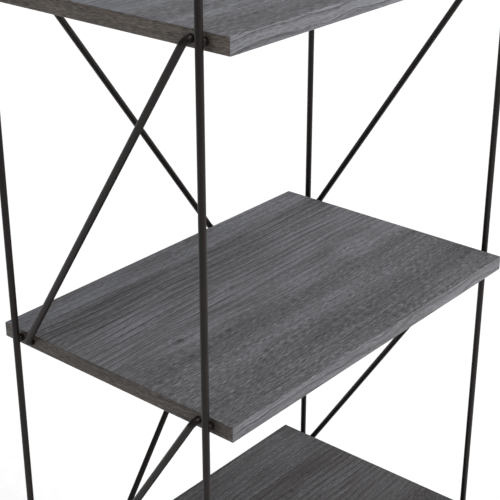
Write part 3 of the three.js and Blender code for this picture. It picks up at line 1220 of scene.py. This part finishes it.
@dataclass
class Upright:
    """One upright: a round bar with a welded boss and a cam stud at each board."""

    corner: Corner
    foot_hole: float = 2.8 * MM  # radius
    foot_hole_depth: float = 18 * MM
    chamfer: float = 0.8 * MM
    boss_radius: float = 4.5 * MM
    weld: float = 0.35 * MM  # how far the weld swells the boss
    gap: float = 0.3 * MM
    stud_radius: float = 2.5 * MM
    neck_radius: float = 1.6 * MM
    neck_start: float = 16.5 * MM  # from the board's end
    head_start: float = 24 * MM
    head_length: float = 3.5 * MM
    crease: float = 35  # degrees
    sides: int = 48

    def build(self) -> bpy.types.Object:
        """Builds the upright with its bosses and studs, and dresses it.

        Returns:
            The finished upright.
        """
        coat = PowderCoat().material()
        foot = LAYOUT.upright(self.corner)
        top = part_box(f"upright_{self.corner.name}")[1][2]
        origin = Vector((foot.x, foot.y, 0))
        bar = turned(self.bar_profile(foot.z, top), origin, UP, self.sides)
        piece = piece_from(f"upright_bar_{self.corner.name}", bar, coat)
        inward = Vector((-self.corner.side.value, 0, 0))
        for number in range(1, SHELF_COUNT + 1):
            at = Vector((foot.x, foot.y, LAYOUT.board_height(number)))
            boss = turned(self.boss_profile(number), at, inward, self.sides)
            work(piece, boss, Operation.JOIN, coat)
            stud = turned(self.stud_profile(number), at, inward, self.sides // 2)
            work(piece, stud, Operation.JOIN, ZincPlate().material())
        smooth(piece, self.crease)
        return piece

    def bar_profile(self, bottom: float, top: float) -> Profile:
        """The bar's outline, with the tapped hole that the foot screws into.

        Args:
            bottom: The height of its lower end.
            top: The height of its upper end.

        Returns:
            Pairs of radius and height, from the bottom of the hole to the top of the bar.
        """
        r, ease = LAYOUT.rod_radius, self.chamfer
        return (
            (self.foot_hole, bottom + self.foot_hole_depth),
            (self.foot_hole, bottom),
            (r - ease / 2, bottom),
            (r, bottom + ease / 2),
            (r, top - ease),
            (r - ease * 0.3, top - ease * 0.3),
            (r - ease, top),
        )

    def reach(self, number: int) -> float:
        """The distance from the bar's centre line to a board's end.

        Args:
            number: The board.

        Returns:
            The distance, always above zero.
        """
        low, high = LAYOUT.board(number)
        end = high.x if self.corner.side is Side.RIGHT else low.x
        return abs(LAYOUT.upright(self.corner).x - end)

    def boss_profile(self, number: int) -> Profile:
        """The boss's outline, with the weld round its root.

        Args:
            number: The board that it meets.

        Returns:
            Pairs of radius and distance from the bar's centre line.
        """
        face = self.reach(number) - self.gap
        r, swell = self.boss_radius, self.weld
        return (
            (1.5 * MM, 0.5 * MM),
            (r - 1.4 * MM, 1.6 * MM),
            (r, 2.6 * MM),
            (r + swell, 3.4 * MM),
            (r + swell, 4.1 * MM),
            (r, 4.9 * MM),
            (r, face - 0.4 * MM),
            (r - 0.4 * MM, face),
        )

    def stud_profile(self, number: int) -> Profile:
        """The stud's outline, with the neck and the head that the cam grips.

        Args:
            number: The board that it goes into.

        Returns:
            Pairs of radius and distance from the bar's centre line.
        """
        end = self.reach(number)
        r, neck = self.stud_radius, self.neck_radius
        head_end = end + self.head_start + self.head_length
        return (
            (r, end - 1 * MM),
            (r, end + self.neck_start - 0.5 * MM),
            (neck, end + self.neck_start),
            (neck, end + self.head_start),
            (r, end + self.head_start + 0.3 * MM),
            (r, head_end - 0.6 * MM),
            (r - 0.8 * MM, head_end),
        )


@dataclass
class Brace:
    """One brace: round bar with both ends bent square to plug into the boards."""

    name: str
    corners: Sequence[Vector]
    ease: float = 0.5 * MM  # chamfer on each cut end
    crease: float = 35  # degrees
    bend_steps: int = 12
    sides: int = 40

    @classmethod
    def across_end(cls, side: Side, bay: int) -> "Brace":
        """The brace at one end of a bay, from the front of the board above to the rear below.

        Args:
            side: Which end.
            bay: The bay, counted up from 1.

        Returns:
            The brace, not yet built.
        """
        low, high = LAYOUT.board(bay)
        sign = side.value
        tip = (high.x if sign > 0 else low.x) - sign * LAYOUT.plug_depth
        out = LAYOUT.upright(Corner(Face.FRONT, side)).x
        front = LAYOUT.side_plug(bay + 1, Face.FRONT), LAYOUT.board_height(bay + 1)
        rear = LAYOUT.side_plug(bay, Face.REAR), LAYOUT.board_height(bay)
        corners = [(tip, *front), (out, *front), (out, *rear), (tip, *rear)]
        name = f"{side.name.lower()}_{bay}"
        return cls(f"end_brace_{name}", [Vector(corner) for corner in corners])

    @classmethod
    def across_back(cls, bay: int) -> "Brace":
        """The brace across the back of a bay.

        Args:
            bay: The bay, counted up from 1.

        Returns:
            The brace, not yet built.
        """
        tip = LAYOUT.board(bay)[1].y - LAYOUT.plug_depth
        out = LAYOUT.rear_line()
        top, foot = LAYOUT.rear_plugs(bay)
        high, low = LAYOUT.board_height(bay + 1), LAYOUT.board_height(bay)
        upper, lower = [(top, tip, high), (top, out, high)], [(foot, out, low), (foot, tip, low)]
        corners = upper + lower
        return cls(f"back_brace_{bay}", [Vector(corner) for corner in corners])

    def build(self) -> bpy.types.Object:
        """Bends the bar and dresses it.

        Returns:
            The finished brace.
        """
        path = bent_path(self.corners, LAYOUT.bend_radius, self.bend_steps)
        bar = swept(path, LAYOUT.rod_radius, self.ease, self.sides)
        piece = piece_from(self.name, bar, PowderCoat().material())
        smooth(piece, self.crease)
        return piece


@dataclass
class CamFitting:
    """The cam that turns under a board to draw one stud, and its upright, tight."""

    number: int
    corner: Corner
    radius: float = 7.2 * MM
    height: float = 12.6 * MM
    recess: float = 0.3 * MM  # below the board's underside
    chamfer: float = 0.5 * MM
    neck_slot: float = 4 * MM
    head_slot: float = 6 * MM
    drive_length: float = 10 * MM
    drive_width: float = 1.6 * MM
    drive_depth: float = 2 * MM
    cross_length: float = 5.5 * MM
    crease: float = 30  # degrees
    sides: int = 48

    def build(self) -> bpy.types.Object:
        """Turns the cam, cuts its slots and dresses it.

        Returns:
            The finished cam.
        """
        low, high = map(Vector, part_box(f"cam_lock_{self.number}_{self.corner.name}"))
        centre = (low + high) / 2
        base = Vector((centre.x, centre.y, LAYOUT.board(self.number)[0].z + self.recess))
        r, ease, tall = self.radius, self.chamfer, self.height
        profile = ((r - ease, 0), (r, ease), (r, tall - ease), (r - ease, tall))
        zinc = CastZinc().material()
        disc = turned(profile, base, UP, self.sides)
        piece = piece_from(f"cam_{self.number}_{self.corner.name}", disc, zinc)
        for low_corner, high_corner in self.slots(base):
            work(piece, block(low_corner, high_corner), Operation.CUT, zinc)
        smooth(piece, self.crease)
        return piece

    def slots(self, base: Vector) -> list[tuple[Vector, Vector]]:
        """The boxes cut out for the stud and for the driver.

        Args:
            base: The middle of the cam's underside.

        Returns:
            Each box's lowest and highest corners.
        """
        stud = LAYOUT.board_height(self.number) - base.z
        sign = self.corner.side.value
        past = self.radius + 1 * MM
        half, neck = self.head_slot / 2, self.neck_slot / 2
        to_stud = sorted((0, sign * past))
        away = sorted((sign * self.recess, -sign * past))
        drive = self.drive_length / 2, self.drive_width / 2
        cross = self.drive_width / 2, self.cross_length / 2
        below = -1 * MM
        boxes = (
            ((to_stud[0], -neck, stud - half), (to_stud[1], neck, stud + half)),
            ((away[0], -half, stud - half), (away[1], half, stud + half)),
            ((-drive[0], -drive[1], below), (*drive, self.drive_depth)),
            ((-cross[0], -cross[1], below), (*cross, self.drive_depth * 0.8)),
        )
        return [(base + Vector(low), base + Vector(high)) for low, high in boxes]


@dataclass
class LevellingFoot:
    """One foot: a moulded pad on the floor, and the screw that lifts the upright off it."""

    corner: Corner
    pad_radius: float = 10 * MM
    pad_rim: float = 3 * MM
    pad_height: float = 7 * MM
    pad_neck: float = 5.5 * MM
    socket: float = 2.8 * MM  # radius
    socket_floor: float = 2.5 * MM
    pin_bottom: float = 2.8 * MM
    screw_radius: float = 2.5 * MM
    collar_bottom: float = 7.3 * MM
    collar_height: float = 3 * MM
    collar_radius: float = 4.6 * MM  # to the corners of the hexagon
    screw_top: float = 26 * MM
    pitch: float = 0.8 * MM
    thread_depth: float = 0.45 * MM
    thread_steps: int = 8  # rings in one pitch
    collar_ease: float = 0.35 * MM
    pad_crease: float = 40  # degrees
    screw_crease: float = 30
    hexagon: int = 6
    sides: int = 48

    def axis(self) -> Vector:
        """The point on the floor under the upright's centre line."""
        foot = LAYOUT.upright(self.corner)
        return Vector((foot.x, foot.y, 0))

    def build_pad(self) -> bpy.types.Object:
        """Builds the moulded pad.

        Returns:
            The finished pad.
        """
        r, neck, tall = self.pad_radius, self.pad_neck, self.pad_height
        profile = (
            (r - 3 * MM, 0.4 * MM),  # the moulding's shallow relief under the pad
            (r - 2.6 * MM, 0),
            (r - 0.9 * MM, 0),
            (r - 0.3 * MM, 0.3 * MM),
            (r, 0.9 * MM),
            (r, self.pad_rim - 0.5 * MM),
            (r - 0.3 * MM, self.pad_rim),
            (r - 1.2 * MM, self.pad_rim + 0.5 * MM),
            (neck + 1 * MM, tall - 1.4 * MM),
            (neck, tall - 0.8 * MM),
            (neck, tall - 0.2 * MM),
            (neck - 0.2 * MM, tall),
            (self.socket + 0.2 * MM, tall),
            (self.socket, tall - 0.2 * MM),
            (self.socket, self.socket_floor),
        )
        pad = turned(profile, self.axis(), UP, self.sides)
        nylon = MouldedNylon().material()
        piece = piece_from(f"foot_pad_{self.corner.name}", pad, nylon)
        smooth(piece, self.pad_crease)
        return piece

    def build_screw(self) -> bpy.types.Object:
        """Builds the screw, with a rolled thread above its hexagon.

        Returns:
            The finished screw.
        """
        plate = ZincPlate().material()
        piece = piece_from(f"foot_screw_{self.corner.name}", self.shank(), plate)
        r, ease, low = self.collar_radius, self.collar_ease, self.collar_bottom
        high = low + self.collar_height
        profile = ((r - ease, low), (r, low + ease), (r, high - ease), (r - ease, high))
        collar = turned(profile, self.axis(), UP, self.hexagon)
        work(piece, collar, Operation.JOIN, plate)
        smooth(piece, self.screw_crease)
        return piece

    def shank(self) -> bmesh.types.BMesh:
        """The plain pin in the pad's socket, and the helical thread above the collar.

        Returns:
            The closed shank, in its place.
        """
        thread_start = self.collar_bottom + self.collar_height / 2
        plain = [(self.pin_bottom, -0.4 * MM), (self.pin_bottom + 0.4 * MM, 0.0)]
        step = self.pitch / self.thread_steps
        count = round((self.screw_top - thread_start) / step)
        rings = [self.ring(z, lambda _, grow=grow: grow) for z, grow in plain]
        for k in range(count + 1):
            z = thread_start + k * step
            fade = min(1.0, (self.screw_top - z) / self.pitch)
            rings.append(self.ring(z, lambda turn, z=z, fade=fade: self.cut(z, turn, fade)))
        solid = skin(rings)
        bmesh.ops.translate(solid, verts=solid.verts, vec=self.axis())
        return solid

    def cut(self, height: float, turn: float, fade: float) -> float:
        """How far the thread lies below the crest.

        Args:
            height: The height above the floor.
            turn: The share of a turn round the axis.
            fade: 1 on the full thread, falling to 0 at its tip.

        Returns:
            The change in radius, never above zero.
        """
        phase = (height / self.pitch - turn) % 1.0
        valley = 1 - abs(2 * phase - 1)
        return -self.thread_depth * (1 - fade) - self.thread_depth * fade * valley

    def ring(self, height: float, grow: Callable[[float], float]) -> list[Vector]:
        """One ring of the shank.

        Args:
            height: Its height above the floor.
            grow: Gives the change in radius at a share of a turn.

        Returns:
            The ring's points.
        """
        points = []
        for k in range(self.sides):
            turn = k / self.sides
            angle = 2 * math.pi * turn
            radius = self.screw_radius + grow(turn)
            x, y = radius * math.cos(angle), radius * math.sin(angle)
            points.append(Vector((x, y, height)))
        return points


# ---- Studio --------------------------------------------------------------------------------------
@dataclass(frozen=True)
class Studio:
    """A plain white floor, soft light from the front and right, and a camera above the middle."""

    floor_reach: float = 60.0  # metres from the middle to each edge
    sky: float = 0.32  # what the surroundings give as light
    backdrop: float = 1.0  # and how bright they look
    sun_strength: float = 3.7
    sun_angle: float = 1.0  # radians across, as from a very wide soft box
    sun_from: tuple[float, float, float] = (0.42, -0.82, 0.9)
    camera_at: tuple[float, float, float] = (-1.0727, -0.8836, 1.6084)
    camera_yaw: float = 0.8711  # radians, from +Y towards +X
    camera_dip: float = 0.4325  # radians below level
    lens: float = 90.7  # millimetres, on a 36 mm sensor
    sensor: float = 36.0

    def build(self) -> None:
        """Lays the floor, lights the scene and sets up the camera."""
        self.lay_floor()
        self.light_world()
        self.hang_sun()
        self.aim_camera()
        view = bpy.context.scene.view_settings
        view.view_transform = "Standard"
        view.look = "None"

    def lay_floor(self) -> None:
        """A wide floor whose far edge is out of sight."""
        sheet = bmesh.new()
        bmesh.ops.create_grid(sheet, x_segments=8, y_segments=8, size=self.floor_reach)
        floor = piece_from("studio_floor", sheet, PaintedFloor().material())

    def light_world(self) -> None:
        """Even light from all round, seen as a clean white."""
        world = bpy.data.worlds.new("studio_air")
        world.use_nodes = True
        tree = world.node_tree
        tree.nodes.clear()
        ray = add_node(tree, "ShaderNodeLightPath")
        lit, seen = (
            add_node(tree, "ShaderNodeBackground", {0: srgb("#ffffff"), 1: level})
            for level in (self.sky, self.backdrop)
        )
        mixed = {0: ray.outputs["Is Camera Ray"], 1: lit, 2: seen}
        both = add_node(tree, "ShaderNodeMixShader", mixed)
        add_node(tree, "ShaderNodeOutputWorld", {"Surface": both})
        bpy.context.scene.world = world

    def hang_sun(self) -> None:
        """The key light, wide enough to blur every shadow."""
        lamp = bpy.data.lights.new("key_light", "SUN")
        lamp.energy, lamp.angle = self.sun_strength, self.sun_angle
        holder = bpy.data.objects.new("key_light", lamp)
        holder.rotation_euler = Vector(self.sun_from).to_track_quat("Z", "Y").to_euler()
        bpy.context.scene.collection.objects.link(holder)

    def aim_camera(self) -> None:
        """A plain camera that looks down on the middle board from the front and left."""
        scene = bpy.context.scene
        optics = bpy.data.cameras.new("view_camera")
        optics.sensor_width, optics.lens = self.sensor, self.lens
        camera = bpy.data.objects.new("view_camera", optics)
        camera.location = self.camera_at
        camera.rotation_euler = (math.pi / 2 - self.camera_dip, 0, -self.camera_yaw)
        scene.collection.objects.link(camera)
        scene.camera = camera


# ---- Assembly ------------------------------------------------------------------------------------
# Boards 2 and 4 carry painted light in their lift: board 2 is darker as painted shade under the
# board above it, board 4 lighter as a painted sheen where it is seen at a grazing angle.
BOARDS = (
    ShelfBoard(1, 610.0, -30.0, -0.08, (Knot(-120, 20), Knot(90, -40))),
    ShelfBoard(2, 1430.0, 45.0, -0.28, (Knot(60, 35), Knot(-190, -10))),
    ShelfBoard(3, 0.0, 0.0, 0.0, (Knot(-167, -11, 9), Knot(-28, 31, 5), Knot(170, -13, 9))),
    ShelfBoard(4, 2270.0, 20.0, 0.14, (Knot(-60, -20),)),
    ShelfBoard(5, 3110.0, -15.0, 0.04, (Knot(130, 30), Knot(-80, 10))),
)


def build_shelves() -> None:
    """Builds the boards with the cams that hold them."""
    for board in BOARDS:
        node = f"shelf_{board.number}"
        place(board.build(), FRAME_BODY, node)
        for corner in CORNERS:
            node = f"cam_lock_{board.number}_{corner.name}"
            cam = CamFitting(board.number, corner)
            place(cam.build(), FRAME_BODY, node)


def build_rods() -> None:
    """Builds the uprights and the braces."""
    for corner in CORNERS:
        node = f"upright_{corner.name}"
        place(Upright(corner).build(), FRAME_BODY, node)
    for bay in range(1, SHELF_COUNT):
        for side in Side:
            node = f"side_brace_{side.name.lower()}_{bay}"
            brace = Brace.across_end(side, bay)
            place(brace.build(), FRAME_BODY, node)
        brace = Brace.across_back(bay)
        place(brace.build(), FRAME_BODY, f"rear_brace_{bay}")


def build_feet() -> None:
    """Builds the levelling feet, whose pads and screws move apart from the frame."""
    for corner in CORNERS:
        foot = LevellingFoot(corner)
        name = corner.name
        place(foot.build_pad(), f"pad_{name}", f"leveller_pad_{name}")
        screw = foot.build_screw()
        place(screw, f"screw_{name}", f"leveller_screw_{name}")


def main() -> None:
    """Builds the bookcase and its studio, in order."""
    logging.basicConfig(level=logging.INFO, format="%(name)s: %(message)s")
    build_shelves()
    build_rods()
    build_feet()
    Studio().build()


if __name__ == "__main__":
    main()
